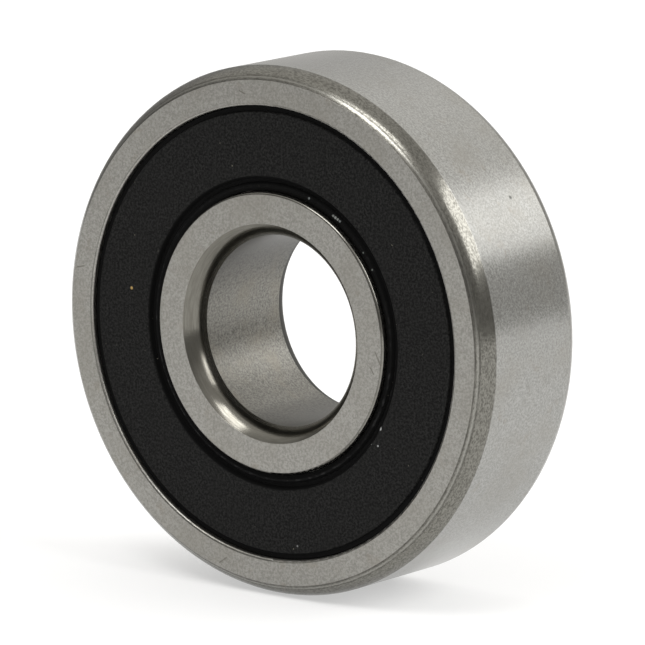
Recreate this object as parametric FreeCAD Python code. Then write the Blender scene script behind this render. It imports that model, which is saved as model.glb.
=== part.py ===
import FreeCAD, Part
import math
import os

# A sealed single-row deep groove ball bearing, bore 17 mm, outside diameter 47 mm, width 14 mm.
# The bearing axis is the Y axis, the origin is the centre of the bearing, +Z is up and the front
# side faces -Y. The bearing is mirror symmetric about the plane y = 0. All sizes are millimetres.

# Boundary sizes.
BORE_DIA = 17.0
OUTSIDE_DIA = 47.0
WIDTH = 14.0
HALF_WIDTH = WIDTH / 2

# Rolling elements. The pitch circle lies halfway between the bore and the outside diameter.
BALL_COUNT = 7
BALL_DIA = 8.731
BALL_RADIUS = BALL_DIA / 2
PITCH_RADIUS = (BORE_DIA + OUTSIDE_DIA) / 4
BALL_STEP_DEG = 360.0 / BALL_COUNT
RACE_CLEARANCE = 0.016
GROOVE_RADIUS = 0.52 * BALL_DIA

# Turned corners of the rings: radial and axial leg, and how far the arc's middle sits from
# the sharp corner as a fraction of each leg (0.293 is a full round, 0.5 is a chamfer).
OUTER_CORNER_RADIAL = 1.14
OUTER_CORNER_AXIAL = 1.70
BORE_CORNER_RADIAL = 1.25
BORE_CORNER_AXIAL = 1.90
CORNER_FULLNESS = 0.39
ROUND_FULLNESS = 0.293

# Outer ring: the seal recess, the undercut that holds the seal's bead, and the ball shoulder.
RECESS_RADIUS = 20.11
RECESS_EDGE_ROUND = 0.25
RECESS_LIP_DEPTH = 0.75
UNDERCUT_RADIUS = 20.75
UNDERCUT_START_DEPTH = 1.00
RECESS_FLOOR_DEPTH = 1.75
OUTER_SHOULDER_RADIUS = 18.75

# Inner ring: the narrow land the seal lips ride on, and the ball shoulder behind it.
LAND_RADIUS = 12.52
LAND_EDGE_RADIAL = 0.22
LAND_EDGE_AXIAL = 0.38
LAND_DEPTH = 1.90
INNER_SHOULDER_RADIUS = 13.25

# Seals. Depths are measured inward from the ring's side face.
SEAL_FACE_DEPTH = 0.28
SEAL_FACE_OUTER_RADIUS = 19.50
SEAL_FACE_INNER_RADIUS = 13.96
SEAL_BACK_DEPTH = 1.05
RIM_GROOVE_DEPTH = 0.50
LIP_CLEARANCE = 0.06
BEAD_CLEARANCE = 0.05
CORE_THICKNESS = 0.30
CORE_INNER_RADIUS = 14.40
CORE_OUTER_RADIUS = 20.30
CORE_FLANGE_DEPTH = 1.15
MOULDED_FILLET = 0.06
PRESSED_FILLET = 0.05

# Ribbon cage, pressed from strip in two mirror-image halves and riveted between the balls.
CAGE_STRIP = 0.70
CAGE_INNER_RADIUS = PITCH_RADIUS - 1.85
CAGE_OUTER_RADIUS = PITCH_RADIUS + 1.85
POCKET_RADIUS = BALL_RADIUS + 0.12
RIVET_RADIUS = 0.60
RIVET_HEAD_RADIUS = 1.15
RIVET_HEAD_HEIGHT = 0.50

ORIGIN = FreeCAD.Vector(0, 0, 0)
AXIS = FreeCAD.Vector(0, 1, 0)


def at(radius, y):
    """A point of a ring's cross-section, drawn in the half plane x > 0, z = 0."""
    return FreeCAD.Vector(radius, y, 0)


def line(a, b):
    return Part.makeLine(a, b)


def arc(a, middle, b):
    return Part.Arc(a, middle, b).toShape()


def polyline(points):
    return [line(a, b) for a, b in zip(points, points[1:])]


def revolve(edges):
    """Turn a closed cross-section into a ring around the bearing axis."""
    face = Part.Face(Part.Wire(Part.__sortEdges__(edges)))
    return face.revolve(ORIGIN, AXIS, 360)


def mirrored(shape):
    """The same piece on the back side of the bearing."""
    return shape.mirror(ORIGIN, AXIS)


def around_pitch_circle(index, offset_deg=0.0):
    """Centre of a ball, or of a rivet when the offset is half a ball step."""
    angle = math.radians(90.0 + index * BALL_STEP_DEG + offset_deg)
    return FreeCAD.Vector(PITCH_RADIUS * math.cos(angle), 0, PITCH_RADIUS * math.sin(angle))


def corner(face_radius, wall_radius, axial, side, fullness):
    """Rounded corner from a side face (side is -1 front, +1 back) to a cylindrical wall."""
    on_face = at(face_radius, side * HALF_WIDTH)
    on_wall = at(wall_radius, side * (HALF_WIDTH - axial))
    middle = at(
        wall_radius + fullness * (face_radius - wall_radius),
        side * (HALF_WIDTH - fullness * axial),
    )
    return arc(on_face, middle, on_wall)


def raceway(bottom_radius, shoulder_radius):
    """Circular-arc ball groove that crosses y = 0 at bottom_radius."""
    outward = 1 if shoulder_radius < bottom_radius else -1
    centre_radius = bottom_radius - outward * GROOVE_RADIUS
    half_span = math.sqrt(GROOVE_RADIUS ** 2 - (shoulder_radius - centre_radius) ** 2)
    front = at(shoulder_radius, -half_span)
    back = at(shoulder_radius, half_span)
    return front, back, arc(front, at(bottom_radius, 0), back)


def outer_ring():
    face_radius = OUTSIDE_DIA / 2 - OUTER_CORNER_RADIAL
    wall_radius = OUTSIDE_DIA / 2
    wall_end = HALF_WIDTH - OUTER_CORNER_AXIAL
    recess_edge = RECESS_RADIUS + RECESS_EDGE_ROUND
    front, back, groove = raceway(PITCH_RADIUS + BALL_RADIUS + RACE_CLEARANCE, OUTER_SHOULDER_RADIUS)
    edges = [groove, line(at(wall_radius, -wall_end), at(wall_radius, wall_end))]
    for side, groove_end in ((-1, front), (1, back)):
        edges.append(corner(face_radius, wall_radius, OUTER_CORNER_AXIAL, side, CORNER_FULLNESS))
        edges.append(line(at(face_radius, side * HALF_WIDTH), at(recess_edge, side * HALF_WIDTH)))
        edges.append(corner(recess_edge, RECESS_RADIUS, RECESS_EDGE_ROUND, side, ROUND_FULLNESS))
        edges += polyline([
            at(RECESS_RADIUS, side * (HALF_WIDTH - RECESS_EDGE_ROUND)),
            at(RECESS_RADIUS, side * (HALF_WIDTH - RECESS_LIP_DEPTH)),
            at(UNDERCUT_RADIUS, side * (HALF_WIDTH - UNDERCUT_START_DEPTH)),
            at(UNDERCUT_RADIUS, side * (HALF_WIDTH - RECESS_FLOOR_DEPTH)),
            at(OUTER_SHOULDER_RADIUS, side * (HALF_WIDTH - RECESS_FLOOR_DEPTH)),
            groove_end,
        ])
    return revolve(edges)


def inner_ring():
    face_radius = BORE_DIA / 2 + BORE_CORNER_RADIAL
    wall_radius = BORE_DIA / 2
    wall_end = HALF_WIDTH - BORE_CORNER_AXIAL
    land_edge = LAND_RADIUS - LAND_EDGE_RADIAL
    front, back, groove = raceway(PITCH_RADIUS - BALL_RADIUS - RACE_CLEARANCE, INNER_SHOULDER_RADIUS)
    edges = [groove, line(at(wall_radius, -wall_end), at(wall_radius, wall_end))]
    for side, groove_end in ((-1, front), (1, back)):
        edges.append(corner(face_radius, wall_radius, BORE_CORNER_AXIAL, side, CORNER_FULLNESS))
        edges.append(line(at(face_radius, side * HALF_WIDTH), at(land_edge, side * HALF_WIDTH)))
        edges.append(corner(land_edge, LAND_RADIUS, LAND_EDGE_AXIAL, side, ROUND_FULLNESS))
        edges += polyline([
            at(LAND_RADIUS, side * (HALF_WIDTH - LAND_EDGE_AXIAL)),
            at(LAND_RADIUS, side * (HALF_WIDTH - LAND_DEPTH)),
            at(INNER_SHOULDER_RADIUS, side * (HALF_WIDTH - LAND_DEPTH)),
            groove_end,
        ])
    return revolve(edges)


def rounded_corner(before, point, after, fillet):
    """Start, middle and end of the arc that rounds one corner of an outline."""
    to_before = (before - point).normalize()
    to_after = (after - point).normalize()
    half_angle = to_before.getAngle(to_after) / 2
    setback = fillet / math.tan(half_angle)
    inward = (to_before + to_after).normalize()
    middle = point + inward * (fillet / math.sin(half_angle) - fillet)
    return point + to_before * setback, middle, point + to_after * setback


def rounded_ring(section, fillet):
    """Ring whose section is given as (radius, depth below the front face) pairs, corners rounded."""
    points = [at(radius, depth - HALF_WIDTH) for radius, depth in section]
    corners = [
        rounded_corner(before, point, after, fillet)
        for before, point, after in zip(points[-1:] + points[:-1], points, points[1:] + points[:1])
    ]
    edges = [arc(start, middle, end) for start, middle, end in corners]
    edges += [line(a[2], b[0]) for a, b in zip(corners, corners[1:] + corners[:1])]
    return revolve(edges)


def seal_core():
    """Thin steel washer whose outer edge is stepped inward to sit in the rubber bead."""
    back = SEAL_BACK_DEPTH
    front = back - CORE_THICKNESS
    step = CORE_FLANGE_DEPTH - front
    section = [
        (CORE_INNER_RADIUS, front),
        (19.00, front),
        (19.45, front + step),
        (CORE_OUTER_RADIUS, front + step),
        (CORE_OUTER_RADIUS, back + step),
        (19.30, back + step),
        (18.85, back),
        (CORE_INNER_RADIUS, back),
    ]
    return rounded_ring(section, PRESSED_FILLET)


def seal_rubber():
    """Rubber moulded over the front and both edges of the steel core, which shows at the back."""
    lip_radius = LAND_RADIUS + LIP_CLEARANCE
    bead_radius = UNDERCUT_RADIUS - BEAD_CLEARANCE
    bead = [
        (19.30, RECESS_FLOOR_DEPTH),
        (bead_radius - 0.20, RECESS_FLOOR_DEPTH),
        (bead_radius, 1.55),
        (bead_radius, 1.15),
        (RECESS_RADIUS - BEAD_CLEARANCE, 0.92),
        (RECESS_RADIUS - BEAD_CLEARANCE, RIM_GROOVE_DEPTH),
        (19.62, RIM_GROOVE_DEPTH),
    ]
    flat_face = [
        (SEAL_FACE_OUTER_RADIUS, SEAL_FACE_DEPTH),
        (SEAL_FACE_INNER_RADIUS, SEAL_FACE_DEPTH),
    ]
    hinge_groove = [
        (13.84, 0.40),
        (13.66, 0.78),
        (13.36, 0.78),
    ]
    dust_lip = [
        (13.14, 0.45),
        (12.98, 0.41),
        (lip_radius, 0.56),
        (lip_radius, 0.76),
    ]
    contact_lip = [
        (12.98, 1.14),
        (12.70, 1.52),
        (lip_radius, 1.68),
        (12.72, 1.81),
        (13.36, 1.70),
    ]
    back = [
        (13.95, SEAL_BACK_DEPTH),
        (19.00, SEAL_BACK_DEPTH),
        (19.15, 1.62),
    ]
    section = bead + flat_face + hinge_groove + dust_lip + contact_lip + back
    return rounded_ring(section, MOULDED_FILLET).cut(seal_core())


def tube(inner_radius, outer_radius, depth):
    """Tube around the bearing axis from y = -depth to y = 0."""
    start = FreeCAD.Vector(0, -depth, 0)
    outside = Part.makeCylinder(outer_radius, depth, start, AXIS)
    return outside.cut(Part.makeCylinder(inner_radius, depth, start, AXIS))


def rivet_centre(index):
    return around_pitch_circle(index, BALL_STEP_DEG / 2)


def rivet_hole(index):
    start = rivet_centre(index) - AXIS * (2 * CAGE_STRIP)
    return Part.makeCylinder(RIVET_RADIUS, 4 * CAGE_STRIP, start, AXIS)


def cage_half():
    """Front half of the cage: flat tabs between the balls, spherical pockets over the balls."""
    pocket_outside = POCKET_RADIUS + CAGE_STRIP
    depth = pocket_outside + 1.0
    band = tube(CAGE_INNER_RADIUS, CAGE_OUTER_RADIUS, depth)
    shape = tube(CAGE_INNER_RADIUS, CAGE_OUTER_RADIUS, CAGE_STRIP)
    for index in range(BALL_COUNT):
        dome = Part.makeSphere(pocket_outside, around_pitch_circle(index))
        shape = shape.fuse(dome.common(band))
    for index in range(BALL_COUNT):
        shape = shape.cut(Part.makeSphere(POCKET_RADIUS, around_pitch_circle(index)))
    for index in range(BALL_COUNT):
        shape = shape.cut(rivet_hole(index))
    return shape.removeSplitter()


def rivet(index):
    """Rivet with a low domed head on each side of the two cage tabs."""
    head_top = CAGE_STRIP + RIVET_HEAD_HEIGHT
    dome_radius = (RIVET_HEAD_RADIUS ** 2 + RIVET_HEAD_HEIGHT ** 2) / (2 * RIVET_HEAD_HEIGHT)
    half_angle = math.asin(RIVET_HEAD_RADIUS / dome_radius) / 2
    half_way = dome_radius * math.sin(half_angle)
    half_drop = dome_radius * (1 - math.cos(half_angle))
    edges = [
        line(at(0, head_top), at(0, -head_top)),
        line(at(RIVET_RADIUS, -CAGE_STRIP), at(RIVET_RADIUS, CAGE_STRIP)),
    ]
    for side in (-1, 1):
        rim = at(RIVET_HEAD_RADIUS, side * CAGE_STRIP)
        edges.append(arc(at(0, side * head_top), at(half_way, side * (head_top - half_drop)), rim))
        edges.append(line(rim, at(RIVET_RADIUS, side * CAGE_STRIP)))
    shape = revolve(edges)
    shape.translate(rivet_centre(index))
    return shape


def ball(index):
    return Part.makeSphere(BALL_RADIUS, around_pitch_circle(index))


def bearing_parts():
    """Every separate piece of the bearing, by node name."""
    front_rubber = seal_rubber()
    front_core = seal_core()
    front_cage = cage_half()
    parts = {
        "outer_ring": outer_ring(),
        "inner_ring": inner_ring(),
        "front_seal_rubber": front_rubber,
        "front_seal_core": front_core,
        "back_seal_rubber": mirrored(front_rubber),
        "back_seal_core": mirrored(front_core),
        "front_cage_half": front_cage,
        "back_cage_half": mirrored(front_cage),
    }
    for index in range(BALL_COUNT):
        parts["ball_%d" % (index + 1)] = ball(index)
        parts["cage_rivet_%d" % (index + 1)] = rivet(index)
    return parts


os.makedirs("parts", exist_ok=True)
for node, shape in bearing_parts().items():
    shape.exportStep("parts/%s.step" % node)
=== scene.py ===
import bpy
import math
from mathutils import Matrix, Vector


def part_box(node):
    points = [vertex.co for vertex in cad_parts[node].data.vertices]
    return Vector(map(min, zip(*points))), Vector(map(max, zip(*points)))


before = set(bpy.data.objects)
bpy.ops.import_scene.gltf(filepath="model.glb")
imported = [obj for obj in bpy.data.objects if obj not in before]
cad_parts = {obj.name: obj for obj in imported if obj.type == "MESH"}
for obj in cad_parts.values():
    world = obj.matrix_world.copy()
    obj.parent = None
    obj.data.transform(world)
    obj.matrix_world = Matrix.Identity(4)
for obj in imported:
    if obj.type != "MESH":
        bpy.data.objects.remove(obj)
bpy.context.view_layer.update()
MM = 0.001

# Camera: a long lens at the photograph's angle, aimed a little to the right of the centre.
CAMERA_AZIMUTH_DEG = 37.99
CAMERA_ELEVATION_DEG = 10.90
CAMERA_DISTANCE = 591.5 * MM
CAMERA_LENS = 374.5
AIM_RIGHT = 0.36 * MM
AIM_UP = -0.03 * MM

# Studio, seen from the bearing. Softboxes: azimuth, elevation, width and height in degrees, and
# radiance. Room: brightness everywhere, and glows given by azimuth, elevation, the angle within
# which they are full, the angle where they end, and the amount they add.
SOFTBOX_DISTANCE = 1.2
SOFTBOXES = (
    ("front_softbox", 0.0, 61.0, 28.0, 21.0, 5.5),
    ("side_softbox", 102.0, 38.0, 50.0, 30.0, 3.8),
    ("rear_softbox", 153.0, 24.0, 36.0, 15.0, 1.45),
)
ROOM_BRIGHTNESS = 0.36
ROOM_COLOR = (1.0, 0.985, 0.955, 1.0)
ROOM_GLOWS = (
    (0.0, 90.0, 50.0, 78.0, 0.38),
    (180.0, 2.0, 30.0, 52.0, 0.38),
    (180.0, 46.0, 8.0, 30.0, 0.14),
    (-100.0, 68.0, 15.0, 45.0, 0.25),
    (-38.0, 10.0, 25.0, 60.0, -0.28),
)

# Floor: a round plate that ends out of the picture, so that the ring faces mirror the dim room
# beyond its edge.
FLOOR_RADIUS = 0.52
FLOOR_COLORS = ((0.545, 0.545, 0.545), (0.560, 0.560, 0.560))
FLOOR_GLOW = 0.45
FLOOR_RELIEF = 0.02 * MM

# Cross-section sizes the masks need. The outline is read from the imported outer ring; the rest
# repeats the part's own dimensions.
OUTER_RING_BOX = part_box("outer_ring")
HALF_WIDTH = OUTER_RING_BOX[1].y
OUTSIDE_RADIUS = OUTER_RING_BOX[1].z
BORE_RADIUS = 8.5 * MM
OUTER_CORNER_RADIAL = 1.14 * MM
OUTER_CORNER_AXIAL = 1.70 * MM
BORE_CORNER_RADIAL = 1.25 * MM
BORE_CORNER_AXIAL = 1.90 * MM
OUTER_CORNER_START = OUTSIDE_RADIUS - OUTER_CORNER_RADIAL
BORE_CORNER_START = BORE_RADIUS + BORE_CORNER_RADIAL
LIP_FILM_INNER = 13.02 * MM
LIP_FILM_OUTER = 13.32 * MM
HINGE_RADIUS = 13.96 * MM
SEAL_EDGE_RADIUS = 19.50 * MM
SEAL_FACE_DEPTH = 0.28 * MM
LIP_DEPTH = 0.44 * MM
RECESS_EDGE = 20.36 * MM
LAND_EDGE = 12.30 * MM

# Dark rings on the front and back faces, partly lines left by the turning tool and partly
# painted shade along the edges: from radius, to radius, fade at each edge, strength.
SHADED_TOOL_RINGS = (
    (OUTER_CORNER_START + 0.03 * MM, OUTER_CORNER_START + 0.10 * MM, 0.05 * MM, 0.55),
    (OUTER_CORNER_START + 0.36 * MM, OUTER_CORNER_START + 0.42 * MM, 0.05 * MM, 0.40),
    (RECESS_EDGE - 0.09 * MM, RECESS_EDGE - 0.03 * MM, 0.04 * MM, 0.50),
    (LAND_EDGE + 0.02 * MM, LAND_EDGE + 0.09 * MM, 0.05 * MM, 0.55),
)
# Painted highlight: a light ring on the turned outer corner, between the first two dark rings.
PAINTED_HIGHLIGHT_RING = (OUTER_CORNER_START + 0.22 * MM, OUTER_CORNER_START + 0.29 * MM, 0.04 * MM, 0.55)

# Ring steel: the dark and the light end of each surface's colour.
FACE_COLORS = ((0.240, 0.234, 0.214), (0.380, 0.371, 0.345))
OUTSIDE_COLORS = ((0.232, 0.230, 0.216), (0.366, 0.365, 0.348))
BORE_COLORS = ((0.122, 0.119, 0.107), (0.288, 0.280, 0.254))
# Painted shade over the upper part and the lowest strip of the bore.
SHADED_BORE_COLORS = ((0.050, 0.049, 0.046), (0.142, 0.139, 0.130))
OUTER_CORNER_COLORS = ((0.108, 0.104, 0.091), (0.226, 0.220, 0.197))
BORE_CORNER_COLORS = ((0.148, 0.141, 0.122), (0.186, 0.179, 0.158))
# Painted shade on the rear bore corner.
SHADED_REAR_BORE_CORNER_COLOR = (0.050, 0.049, 0.046)
# Painted shade for the dark rings.
PAINTED_SHADE_RING_COLOR = (0.055, 0.053, 0.047)
# Painted highlight ring.
PAINTED_HIGHLIGHT_RING_COLOR = (0.330, 0.325, 0.300)
CLOUD_COLOR = (0.262, 0.248, 0.216)
BLOT_COLOR = (0.235, 0.205, 0.165)
BORE_STAIN_COLOR = (0.235, 0.216, 0.176)
SCRATCH_COLOR = (0.13, 0.12, 0.10)
PIT_COLOR = (0.06, 0.06, 0.055)
STEEL_RELIEF = 0.0012 * MM

# Seal rubber: dark and light end of the skin, its patches, the painted shade in the grooves, and
# specks.
RUBBER_COLORS = ((0.0004, 0.0004, 0.0004), (0.0190, 0.0190, 0.0182))
RUBBER_PATCH_COLOR = (0.0115, 0.0115, 0.0110)
# Painted shade for the grooves.
PAINTED_GROOVE_SHADE_COLOR = (0.0010, 0.0010, 0.0010)
RUBBER_SPECK_COLOR = (0.16, 0.15, 0.12)
RUBBER_RELIEF = 0.006 * MM

# Steels of the inner pieces: dark colour, light colour, least and most roughness, relief.
CORE_STEEL = ((0.30, 0.30, 0.29), (0.42, 0.42, 0.41), 0.30, 0.45, 0.001 * MM)
CAGE_STEEL = ((0.34, 0.33, 0.31), (0.48, 0.47, 0.45), 0.26, 0.40, 0.001 * MM)
BALL_STEEL = ((0.52, 0.52, 0.53), (0.58, 0.58, 0.59), 0.04, 0.09, 0.0001 * MM)
RIVET_STEEL = ((0.38, 0.37, 0.35), (0.50, 0.49, 0.48), 0.28, 0.42, 0.001 * MM)

# Small marks: a pit in the outside diameter, a few grains of dust on the front seal, and painted
# glints on its lip (the entries at LIP_DEPTH). Angles are in degrees, clockwise from +X as seen
# from the front. Each entry is (angle, radius, depth below the ring face, size, colour).
PIT_ANGLE = 326.4
PIT_Y = 1.85 * MM
PIT_INSIDE = 0.10 * MM
PIT_OUTSIDE = 0.22 * MM
DUST_AND_GLINTS = (
    (188.1, 15.94 * MM, SEAL_FACE_DEPTH, 0.19 * MM, (0.40, 0.27, 0.10)),
    (30.0, 13.84 * MM, SEAL_FACE_DEPTH, 0.25 * MM, (0.55, 0.56, 0.55)),
    (37.4, 13.88 * MM, SEAL_FACE_DEPTH, 0.10 * MM, (0.30, 0.31, 0.31)),
    (35.8, 14.54 * MM, SEAL_FACE_DEPTH, 0.12 * MM, (0.32, 0.33, 0.33)),
    (81.1, 18.85 * MM, SEAL_FACE_DEPTH, 0.12 * MM, (0.20, 0.20, 0.20)),
    # Painted glints on the lip.
    (288.3, 13.07 * MM, LIP_DEPTH, 0.14 * MM, (0.14, 0.15, 0.15)),
    (301.2, 13.04 * MM, LIP_DEPTH, 0.15 * MM, (0.17, 0.18, 0.17)),
    (302.4, 13.05 * MM, LIP_DEPTH, 0.17 * MM, (0.21, 0.22, 0.21)),
    (303.6, 13.08 * MM, LIP_DEPTH, 0.16 * MM, (0.19, 0.20, 0.19)),
    (304.8, 13.10 * MM, LIP_DEPTH, 0.14 * MM, (0.15, 0.16, 0.16)),
    (320.5, 13.02 * MM, LIP_DEPTH, 0.11 * MM, (0.10, 0.11, 0.10)),
    (328.0, 13.00 * MM, LIP_DEPTH, 0.12 * MM, (0.12, 0.13, 0.12)),
)

# Fine scratches on the front faces: angle, radius, direction in degrees, length, half width.
SCRATCHES = (
    (3.6, 12.00 * MM, 118.0, 1.7 * MM, 0.060 * MM),
    (9.5, 11.50 * MM, 125.0, 0.9 * MM, 0.050 * MM),
    (189.5, 21.75 * MM, 12.0, 1.1 * MM, 0.060 * MM),
    (262.0, 21.30 * MM, 160.0, 0.9 * MM, 0.050 * MM),
    (104.0, 21.60 * MM, 35.0, 1.3 * MM, 0.050 * MM),
)


def on_outside(angle_deg, y):
    a = math.radians(angle_deg)
    return Vector((OUTSIDE_RADIUS * math.cos(a), y, -OUTSIDE_RADIUS * math.sin(a)))


def on_seal(angle_deg, radius, depth):
    a = math.radians(angle_deg)
    return Vector((radius * math.cos(a), depth - HALF_WIDTH, -radius * math.sin(a)))


class Nodes:
    """Short calls for building one material's node tree."""

    def __init__(self, name):
        self.material = bpy.data.materials.new(name)
        self.material.use_nodes = True
        self.tree = self.material.node_tree
        self.shader = self.tree.nodes["Principled BSDF"]
        coordinates = self.tree.nodes.new("ShaderNodeTexCoord")
        self.position = coordinates.outputs["Object"]
        split = self.add("ShaderNodeSeparateXYZ", Vector=self.position)
        self.x, self.y, self.z = split.outputs
        self.radius = self.sqrt(self.plus(self.times(self.x, self.x), self.times(self.z, self.z)))
        self.depth = self.minus(HALF_WIDTH, self.math("ABSOLUTE", self.y))

    def add(self, kind, **inputs):
        node = self.tree.nodes.new(kind)
        for name, value in inputs.items():
            self.feed(value, node.inputs[name.replace("_", " ")])
        return node

    def feed(self, value, socket):
        if isinstance(value, bpy.types.NodeSocket):
            self.tree.links.new(value, socket)
        else:
            socket.default_value = value

    def math(self, operation, a, b=0.0, clamp=False):
        node = self.tree.nodes.new("ShaderNodeMath")
        node.operation = operation
        node.use_clamp = clamp
        self.feed(a, node.inputs[0])
        self.feed(b, node.inputs[1])
        return node.outputs[0]

    def plus(self, a, b):
        return self.math("ADD", a, b)

    def minus(self, a, b):
        return self.math("SUBTRACT", a, b)

    def times(self, a, b):
        return self.math("MULTIPLY", a, b)

    def sqrt(self, a):
        return self.math("SQRT", a)

    def ramp(self, value, low, high, out_low=0.0, out_high=1.0):
        """Smooth step from out_low to out_high as value goes from low to high."""
        node = self.tree.nodes.new("ShaderNodeMapRange")
        node.interpolation_type = "SMOOTHSTEP"
        limits = (("From Min", low), ("From Max", high), ("To Min", out_low), ("To Max", out_high))
        for name, number in limits:
            node.inputs[name].default_value = number
        self.feed(value, node.inputs["Value"])
        return node.outputs["Result"]

    def noise(self, scale, detail=3.0, roughness=0.55, vector=None):
        """Noise around 0.5; scale is in features per metre of the vector."""
        node = self.add("ShaderNodeTexNoise", Vector=vector or self.position, Scale=scale,
                        Detail=detail, Roughness=roughness)
        return node.outputs["Fac"]

    def turned_lines(self, around, across, detail=4.0):
        """Noise drawn out into lines that run round the axis, with no seam."""
        stretched = self.add("ShaderNodeCombineXYZ", X=self.times(self.x, around),
                             Y=self.times(self.y, across), Z=self.times(self.z, around))
        node = self.tree.nodes.new("ShaderNodeTexNoise")
        node.noise_dimensions = "4D"
        self.feed(stretched.outputs[0], node.inputs["Vector"])
        self.feed(self.times(self.radius, across), node.inputs["W"])
        for name, value in (("Scale", 1.0), ("Detail", detail), ("Roughness", 0.6)):
            node.inputs[name].default_value = value
        return node.outputs["Fac"]

    def near(self, point, inside, outside):
        """1 within inside of a point, 0 beyond outside."""
        node = self.tree.nodes.new("ShaderNodeVectorMath")
        node.operation = "DISTANCE"
        self.feed(self.position, node.inputs[0])
        self.feed(point, node.inputs[1])
        return self.ramp(node.outputs["Value"], outside, inside)

    def blend(self, factor, a, b):
        """Number going from a to b as factor goes from 0 to 1."""
        return self.plus(self.times(self.minus(1.0, factor), a), self.times(factor, b))

    def mix(self, factor, a, b):
        node = self.tree.nodes.new("ShaderNodeMix")
        node.data_type = "RGBA"
        self.feed(factor, node.inputs[0])
        self.feed(a if isinstance(a, bpy.types.NodeSocket) else (*a, 1.0), node.inputs[6])
        self.feed(b if isinstance(b, bpy.types.NodeSocket) else (*b, 1.0), node.inputs[7])
        return node.outputs[2]

    def finish(self, color, roughness, height=None, bump=0.0, metallic=0.0, specular=0.5):
        """Connect the surface; bump is how tall a height of 1 stands, in metres."""
        self.feed(color, self.shader.inputs["Base Color"])
        self.feed(roughness, self.shader.inputs["Roughness"])
        self.shader.inputs["Metallic"].default_value = metallic
        self.shader.inputs["Specular IOR Level"].default_value = specular
        if height is not None:
            node = self.add("ShaderNodeBump", Height=height, Distance=bump, Strength=1.0)
            self.feed(node.outputs["Normal"], self.shader.inputs["Normal"])
        return self.material


def band(nodes, value, low, high, edge):
    """1 where value lies between low and high, fading over edge on both sides."""
    return nodes.times(nodes.ramp(value, low - edge, low), nodes.ramp(value, high + edge, high))


def corner_masks(nodes):
    """1 on a ring's turned outer corners and on its bore corners, 0 elsewhere."""
    outer = nodes.times(
        nodes.ramp(nodes.radius, OUTER_CORNER_START, OUTER_CORNER_START + 0.03 * MM),
        nodes.ramp(nodes.depth, OUTER_CORNER_AXIAL, OUTER_CORNER_AXIAL - 0.05 * MM),
    )
    bore = nodes.times(
        nodes.ramp(nodes.radius, BORE_CORNER_START, BORE_CORNER_START - 0.05 * MM),
        nodes.ramp(nodes.depth, BORE_CORNER_AXIAL, BORE_CORNER_AXIAL - 0.05 * MM),
    )
    return outer, bore


def tool_rings_with_painted_light(nodes):
    """Strengths of the painted shade rings (over tool lines and edges, and at the bore corner's
    run-out) and of the painted highlight ring.
    """
    broken = nodes.ramp(nodes.turned_lines(500.0, 500.0), 0.30, 0.60, 0.45, 1.0)
    at_face = nodes.ramp(nodes.depth, 0.55 * MM, 0.45 * MM)
    on_face = nodes.times(at_face, broken)
    dark = 0.0
    for low, high, fade, strength in SHADED_TOOL_RINGS:
        dark = nodes.plus(dark, nodes.times(band(nodes, nodes.radius, low, high, fade), strength))
    low, high, fade, strength = PAINTED_HIGHLIGHT_RING
    # Painted highlight on the turned outer corner.
    bright = nodes.times(band(nodes, nodes.radius, low, high, fade), strength)
    in_bore = nodes.ramp(nodes.radius, BORE_RADIUS + 0.45 * MM, BORE_RADIUS + 0.25 * MM)
    # Painted shade: a dark run-out ring where the bore corner meets the bore.
    run_out = band(
        nodes, nodes.depth, BORE_CORNER_AXIAL - 0.50 * MM, BORE_CORNER_AXIAL - 0.05 * MM, 0.08 * MM
    )
    painted_run_out_shade = nodes.times(nodes.times(run_out, in_bore), 0.20)
    return nodes.plus(nodes.times(dark, on_face), painted_run_out_shade), nodes.times(bright, on_face)


def scratches(nodes):
    """1 along the fine scratches on the front faces, 0 elsewhere."""
    total = 0.0
    for angle, radius, direction_deg, length, half_width in SCRATCHES:
        a = math.radians(angle)
        d = math.radians(direction_deg)
        x = nodes.minus(nodes.x, radius * math.cos(a))
        z = nodes.plus(nodes.z, radius * math.sin(a))
        along = nodes.plus(nodes.times(x, math.cos(d)), nodes.times(z, math.sin(d)))
        across = nodes.minus(nodes.times(z, math.cos(d)), nodes.times(x, math.sin(d)))
        line = nodes.times(
            nodes.ramp(nodes.math("ABSOLUTE", along), length / 2, length / 3),
            nodes.ramp(nodes.math("ABSOLUTE", across), 2 * half_width, 0.0),
        )
        total = nodes.plus(total, line)
    on_face = nodes.ramp(nodes.depth, 0.10 * MM, 0.02 * MM)
    in_front = nodes.ramp(nodes.y, 0.0, -1.0 * MM)
    return nodes.times(total, nodes.times(on_face, in_front))


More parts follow.
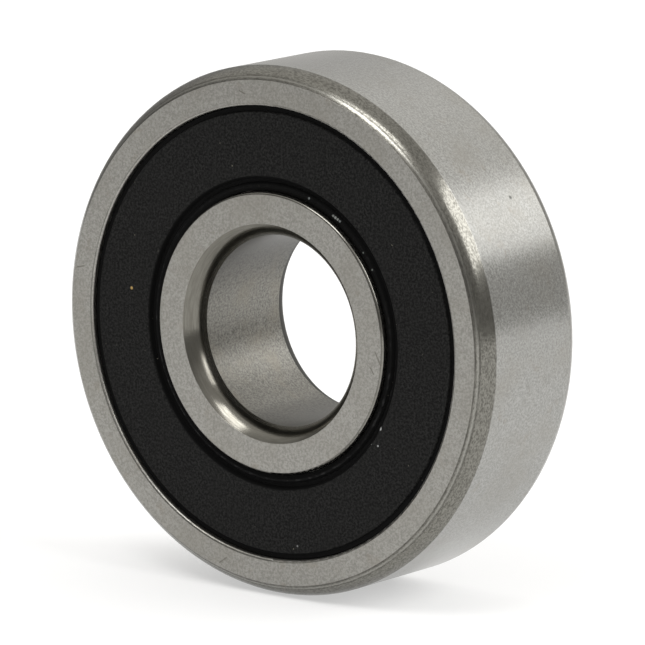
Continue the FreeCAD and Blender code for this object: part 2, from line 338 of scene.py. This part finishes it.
def ring_steel(name):
    """Hardened ring steel: ground outside, faces and bore, with darker turned corners."""
    nodes = Nodes(name)
    outside = nodes.ramp(nodes.radius, OUTSIDE_RADIUS - 0.04 * MM, OUTSIDE_RADIUS - 0.01 * MM)
    bore = nodes.ramp(nodes.radius, BORE_RADIUS + 0.04 * MM, BORE_RADIUS + 0.01 * MM)
    outer_corner, bore_corner = corner_masks(nodes)
    corner = nodes.math("MAXIMUM", outer_corner, bore_corner)
    # Rear bore corner, darkened with painted shade.
    shaded_rear_corner = nodes.times(bore_corner, nodes.ramp(nodes.y, 0.0, 1.0 * MM))
    land_edge = band(nodes, nodes.radius, LAND_EDGE + 0.04 * MM, LAND_EDGE + 0.20 * MM, 0.03 * MM)
    painted_shade_ring, painted_highlight_ring = tool_rings_with_painted_light(nodes)
    grain = nodes.noise(5200.0, 2.0, 0.7)
    grind = nodes.turned_lines(around=900.0, across=14000.0)
    cloud = nodes.noise(170.0, 4.0, 0.6)
    blot = nodes.noise(620.0, 3.0, 0.6)
    stain = nodes.noise(330.0, 4.0, 0.65)
    pits = nodes.turned_lines(around=4200.0, across=8800.0, detail=3.0)
    lines = nodes.turned_lines(around=700.0, across=9000.0, detail=3.0)

    # Ground faces and outside diameter, with faint clouds and warm blots.
    dark = nodes.mix(outside, FACE_COLORS[0], OUTSIDE_COLORS[0])
    light = nodes.mix(outside, FACE_COLORS[1], OUTSIDE_COLORS[1])
    ground = nodes.mix(nodes.ramp(grain, 0.32, 0.68), dark, light)
    ground = nodes.mix(nodes.ramp(grind, 0.35, 0.70, 0.0, 0.25), ground, light)
    ground = nodes.mix(nodes.ramp(cloud, 0.42, 0.72, 0.0, 0.40), ground, CLOUD_COLOR)
    ground = nodes.mix(nodes.ramp(blot, 0.60, 0.74, 0.0, 0.30), ground, BLOT_COLOR)

    # Bore: stained, with painted shade over its upper part and along its lowest strip.
    inside = nodes.mix(nodes.ramp(grain, 0.28, 0.72), *BORE_COLORS)
    inside = nodes.mix(nodes.ramp(stain, 0.45, 0.72, 0.0, 0.45), inside, BORE_STAIN_COLOR)
    upper = nodes.ramp(nodes.z, 0.5 * MM, 6.5 * MM, 0.0, 0.85)
    lowest = nodes.ramp(nodes.z, -7.3 * MM, -8.2 * MM, 0.0, 0.60)
    shaded_bore = nodes.mix(nodes.ramp(grain, 0.28, 0.72), *SHADED_BORE_COLORS)
    inside = nodes.mix(nodes.plus(upper, lowest), inside, shaded_bore)
    ground = nodes.mix(bore, ground, inside)

    # Turned corners: pitted at the outside, smooth lines at the bore, rougher and darkened with painted
    # shade at its rear end.
    turned = nodes.mix(nodes.ramp(pits, 0.34, 0.62), *OUTER_CORNER_COLORS)
    smooth = nodes.mix(nodes.ramp(lines, 0.34, 0.66), *BORE_CORNER_COLORS)
    turned = nodes.mix(bore_corner, turned, smooth)
    turned = nodes.mix(nodes.times(shaded_rear_corner, 0.9), turned, SHADED_REAR_BORE_CORNER_COLOR)
    color = nodes.mix(corner, ground, turned)
    color = nodes.mix(nodes.times(land_edge, 0.6), color, smooth)

    # Marks: tool rings with painted shade and a painted highlight ring, scratches and the pit.
    color = nodes.mix(painted_shade_ring, color, PAINTED_SHADE_RING_COLOR)
    color = nodes.mix(painted_highlight_ring, color, PAINTED_HIGHLIGHT_RING_COLOR)
    color = nodes.mix(nodes.times(scratches(nodes), 0.75), color, SCRATCH_COLOR)
    pit = nodes.near(on_outside(PIT_ANGLE, PIT_Y), PIT_INSIDE, PIT_OUTSIDE)
    color = nodes.mix(nodes.times(pit, 0.85), color, PIT_COLOR)

    face_rough = nodes.ramp(nodes.plus(grind, grain), 0.7, 1.3, 0.34, 0.42)
    outside_rough = nodes.ramp(nodes.plus(grind, grain), 0.7, 1.3, 0.18, 0.25)
    rough = nodes.blend(outside, face_rough, outside_rough)
    rough = nodes.blend(bore, rough, nodes.ramp(grain, 0.3, 0.7, 0.34, 0.44))
    rough = nodes.blend(outer_corner, rough, nodes.ramp(pits, 0.3, 0.7, 0.25, 0.15))
    rough = nodes.blend(bore_corner, rough, nodes.ramp(lines, 0.3, 0.7, 0.22, 0.15))
    rough = nodes.blend(shaded_rear_corner, rough, 0.60)
    rough = nodes.blend(painted_shade_ring, rough, 0.60)
    rough = nodes.blend(land_edge, rough, 0.17)

    ground_height = nodes.plus(nodes.times(grind, 0.3), nodes.times(grain, 0.7))
    turned_height = nodes.blend(bore_corner, nodes.times(pits, 2.2), nodes.times(lines, 1.2))
    height = nodes.blend(corner, ground_height, turned_height)
    return nodes.finish(color, rough, height, STEEL_RELIEF, metallic=1.0)


def moulded_rubber(name):
    """Matte black seal rubber with a fine mould texture, dust, painted shade in the grooves, and
    painted glints and a patchy grease film on the lip.
    """
    nodes = Nodes(name)
    patch = nodes.noise(420.0, 4.0, 0.6)
    skin = nodes.noise(4600.0, 3.0, 0.7)
    color = nodes.mix(nodes.ramp(skin, 0.38, 0.66), *RUBBER_COLORS)
    color = nodes.mix(nodes.ramp(patch, 0.40, 0.75, 0.0, 0.35), color, RUBBER_PATCH_COLOR)
    outer_groove = nodes.ramp(nodes.radius, SEAL_EDGE_RADIUS + 0.02 * MM, SEAL_EDGE_RADIUS + 0.12 * MM)
    lip_groove = nodes.ramp(nodes.radius, HINGE_RADIUS, HINGE_RADIUS - 0.12 * MM)
    shaded = nodes.math("MAXIMUM", outer_groove, lip_groove)
    # Painted shade darkens the grooves.
    color = nodes.mix(nodes.times(shaded, 0.95), color, PAINTED_GROOVE_SHADE_COLOR)
    specks = nodes.ramp(nodes.noise(2600.0, 2.0, 0.5), 0.77, 0.80)
    color = nodes.mix(specks, color, RUBBER_SPECK_COLOR)
    # Dust on the seal face, and painted glints on the lip.
    for angle, distance, depth, size, tint in DUST_AND_GLINTS:
        speck = nodes.near(on_seal(angle, distance, depth), 0.4 * size, size)
        color = nodes.mix(speck, color, tint)
    roughness = nodes.ramp(nodes.plus(patch, skin), 0.7, 1.3, 0.48, 0.62)
    roughness = nodes.blend(nodes.times(shaded, 0.8), roughness, 0.80)
    height = nodes.plus(skin, nodes.times(patch, 0.8))
    lip = band(nodes, nodes.radius, LIP_FILM_INNER, LIP_FILM_OUTER, 0.10 * MM)
    film = nodes.ramp(nodes.noise(1500.0, 4.0, 0.7), 0.48, 0.68, 0.0, 0.40)
    edge = band(
        nodes, nodes.radius, SEAL_EDGE_RADIUS - 0.06 * MM, SEAL_EDGE_RADIUS + 0.06 * MM, 0.03 * MM
    )
    coat = nodes.plus(nodes.times(lip, film), nodes.times(edge, nodes.times(film, 0.35)))
    nodes.feed(coat, nodes.shader.inputs["Coat Weight"])
    nodes.shader.inputs["Coat Roughness"].default_value = 0.16
    return nodes.finish(color, roughness, height, RUBBER_RELIEF, specular=0.12)


def plain_steel(name, dark, light, rough_low, rough_high, bump):
    """Bare steel of a small inner piece, mottled and lightly marked."""
    nodes = Nodes(name)
    mottle = nodes.noise(900.0, 5.0, 0.6)
    fine = nodes.noise(7000.0, 3.0, 0.6)
    color = nodes.mix(nodes.ramp(mottle, 0.35, 0.68), dark, light)
    roughness = nodes.ramp(nodes.plus(mottle, fine), 0.7, 1.3, rough_low, rough_high)
    return nodes.finish(color, roughness, fine, bump, metallic=1.0)


def dress(material, *names):
    """Put one material on every slot of the named CAD nodes."""
    for name in names:
        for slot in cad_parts[name].material_slots:
            slot.material = material


def dress_bearing():
    dress(ring_steel("ring_steel"), "outer_ring", "inner_ring")
    dress(moulded_rubber("moulded_rubber"), "front_seal_rubber", "back_seal_rubber")
    core = plain_steel("rolled_core_steel", *CORE_STEEL)
    dress(core, "front_seal_core", "back_seal_core")
    cage = plain_steel("pressed_cage_steel", *CAGE_STEEL)
    dress(cage, "front_cage_half", "back_cage_half")
    ball = plain_steel("polished_ball_steel", *BALL_STEEL)
    rivet = plain_steel("headed_rivet_steel", *RIVET_STEEL)
    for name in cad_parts:
        if name.startswith("ball_"):
            dress(ball, name)
        if name.startswith("cage_rivet_"):
            dress(rivet, name)


def direction(azimuth_deg, elevation_deg):
    """Unit vector from the bearing toward a viewer at that azimuth and elevation."""
    a, e = math.radians(azimuth_deg), math.radians(elevation_deg)
    return Vector((math.sin(a) * math.cos(e), -math.cos(a) * math.cos(e), math.sin(e)))


def softbox(name, azimuth_deg, elevation_deg, width_deg, height_deg, radiance):
    """Soft light that faces the bearing, given by where it stands and how large and bright it looks."""
    width = 2 * SOFTBOX_DISTANCE * math.tan(math.radians(width_deg / 2))
    height = 2 * SOFTBOX_DISTANCE * math.tan(math.radians(height_deg / 2))
    light = bpy.data.lights.new(name, "AREA")
    light.shape = "RECTANGLE"
    light.size, light.size_y = width, height
    light.energy = radiance * math.pi * width * height
    lamp = bpy.data.objects.new(name, light)
    bpy.context.scene.collection.objects.link(lamp)
    toward = direction(azimuth_deg, elevation_deg)
    lamp.location = toward * SOFTBOX_DISTANCE
    lamp.rotation_mode = "QUATERNION"
    lamp.rotation_quaternion = toward.to_track_quat("Z", "Y")


def floor():
    """Plain pale floor that the bearing stands on."""
    nodes = Nodes("pale_floor")
    tone = nodes.mix(nodes.noise(3.0, 2.0), *FLOOR_COLORS)
    material = nodes.finish(tone, 0.9, nodes.noise(400.0, 3.0), FLOOR_RELIEF)
    nodes.shader.inputs["Emission Color"].default_value = (1.0, 1.0, 1.0, 1.0)
    nodes.shader.inputs["Emission Strength"].default_value = FLOOR_GLOW
    bpy.ops.mesh.primitive_circle_add(vertices=96, radius=FLOOR_RADIUS, fill_type="TRIFAN",
                                      location=(0.0, 0.0, OUTER_RING_BOX[0].z))
    plane = bpy.context.object
    plane.name = "floor"
    plane.data.materials.append(material)


def glow(tree, toward, azimuth_deg, elevation_deg, full_deg, end_deg, amount):
    """Amount near one direction of the world, fading to nothing between the two angles from it."""
    dot = tree.nodes.new("ShaderNodeVectorMath")
    dot.operation = "DOT_PRODUCT"
    dot.inputs[1].default_value = direction(azimuth_deg, elevation_deg)
    tree.links.new(toward, dot.inputs[0])
    fade = tree.nodes.new("ShaderNodeMapRange")
    fade.interpolation_type = "SMOOTHSTEP"
    fade.inputs["From Min"].default_value = math.cos(math.radians(end_deg))
    fade.inputs["From Max"].default_value = math.cos(math.radians(full_deg))
    fade.inputs["To Max"].default_value = amount
    tree.links.new(dot.outputs["Value"], fade.inputs["Value"])
    return fade.outputs["Result"]


def surroundings():
    """Plain grey room: lighter overhead, high on the left and behind, dimmest to the front left."""
    world = bpy.data.worlds.new("surroundings")
    world.use_nodes = True
    tree = world.node_tree
    toward = tree.nodes.new("ShaderNodeTexCoord").outputs["Generated"]
    base = tree.nodes.new("ShaderNodeValue")
    base.outputs[0].default_value = ROOM_BRIGHTNESS
    total = base.outputs[0]
    for row in ROOM_GLOWS:
        add = tree.nodes.new("ShaderNodeMath")
        tree.links.new(total, add.inputs[0])
        tree.links.new(glow(tree, toward, *row), add.inputs[1])
        total = add.outputs[0]
    background = tree.nodes["Background"]
    tree.links.new(total, background.inputs["Strength"])
    background.inputs["Color"].default_value = ROOM_COLOR
    bpy.context.scene.world = world


def lights():
    for row in SOFTBOXES:
        softbox(*row)


def camera():
    """Long lens on the bearing from the front right, a little above it."""
    azimuth = math.radians(CAMERA_AZIMUTH_DEG)
    back = direction(CAMERA_AZIMUTH_DEG, CAMERA_ELEVATION_DEG)
    right = Vector((math.cos(azimuth), math.sin(azimuth), 0.0))
    up = back.cross(right)
    data = bpy.data.cameras.new("camera")
    data.lens = CAMERA_LENS
    data.sensor_width = 36.0
    data.clip_start = 0.05
    data.clip_end = 50.0
    view = bpy.data.objects.new("camera", data)
    bpy.context.scene.collection.objects.link(view)
    view.location = back * CAMERA_DISTANCE + right * AIM_RIGHT + up * AIM_UP
    view.rotation_mode = "QUATERNION"
    view.rotation_quaternion = back.to_track_quat("Z", "Y")
    bpy.context.scene.camera = view


dress_bearing()
floor()
surroundings()
lights()
camera()
bpy.context.scene.view_settings.view_transform = "Standard"
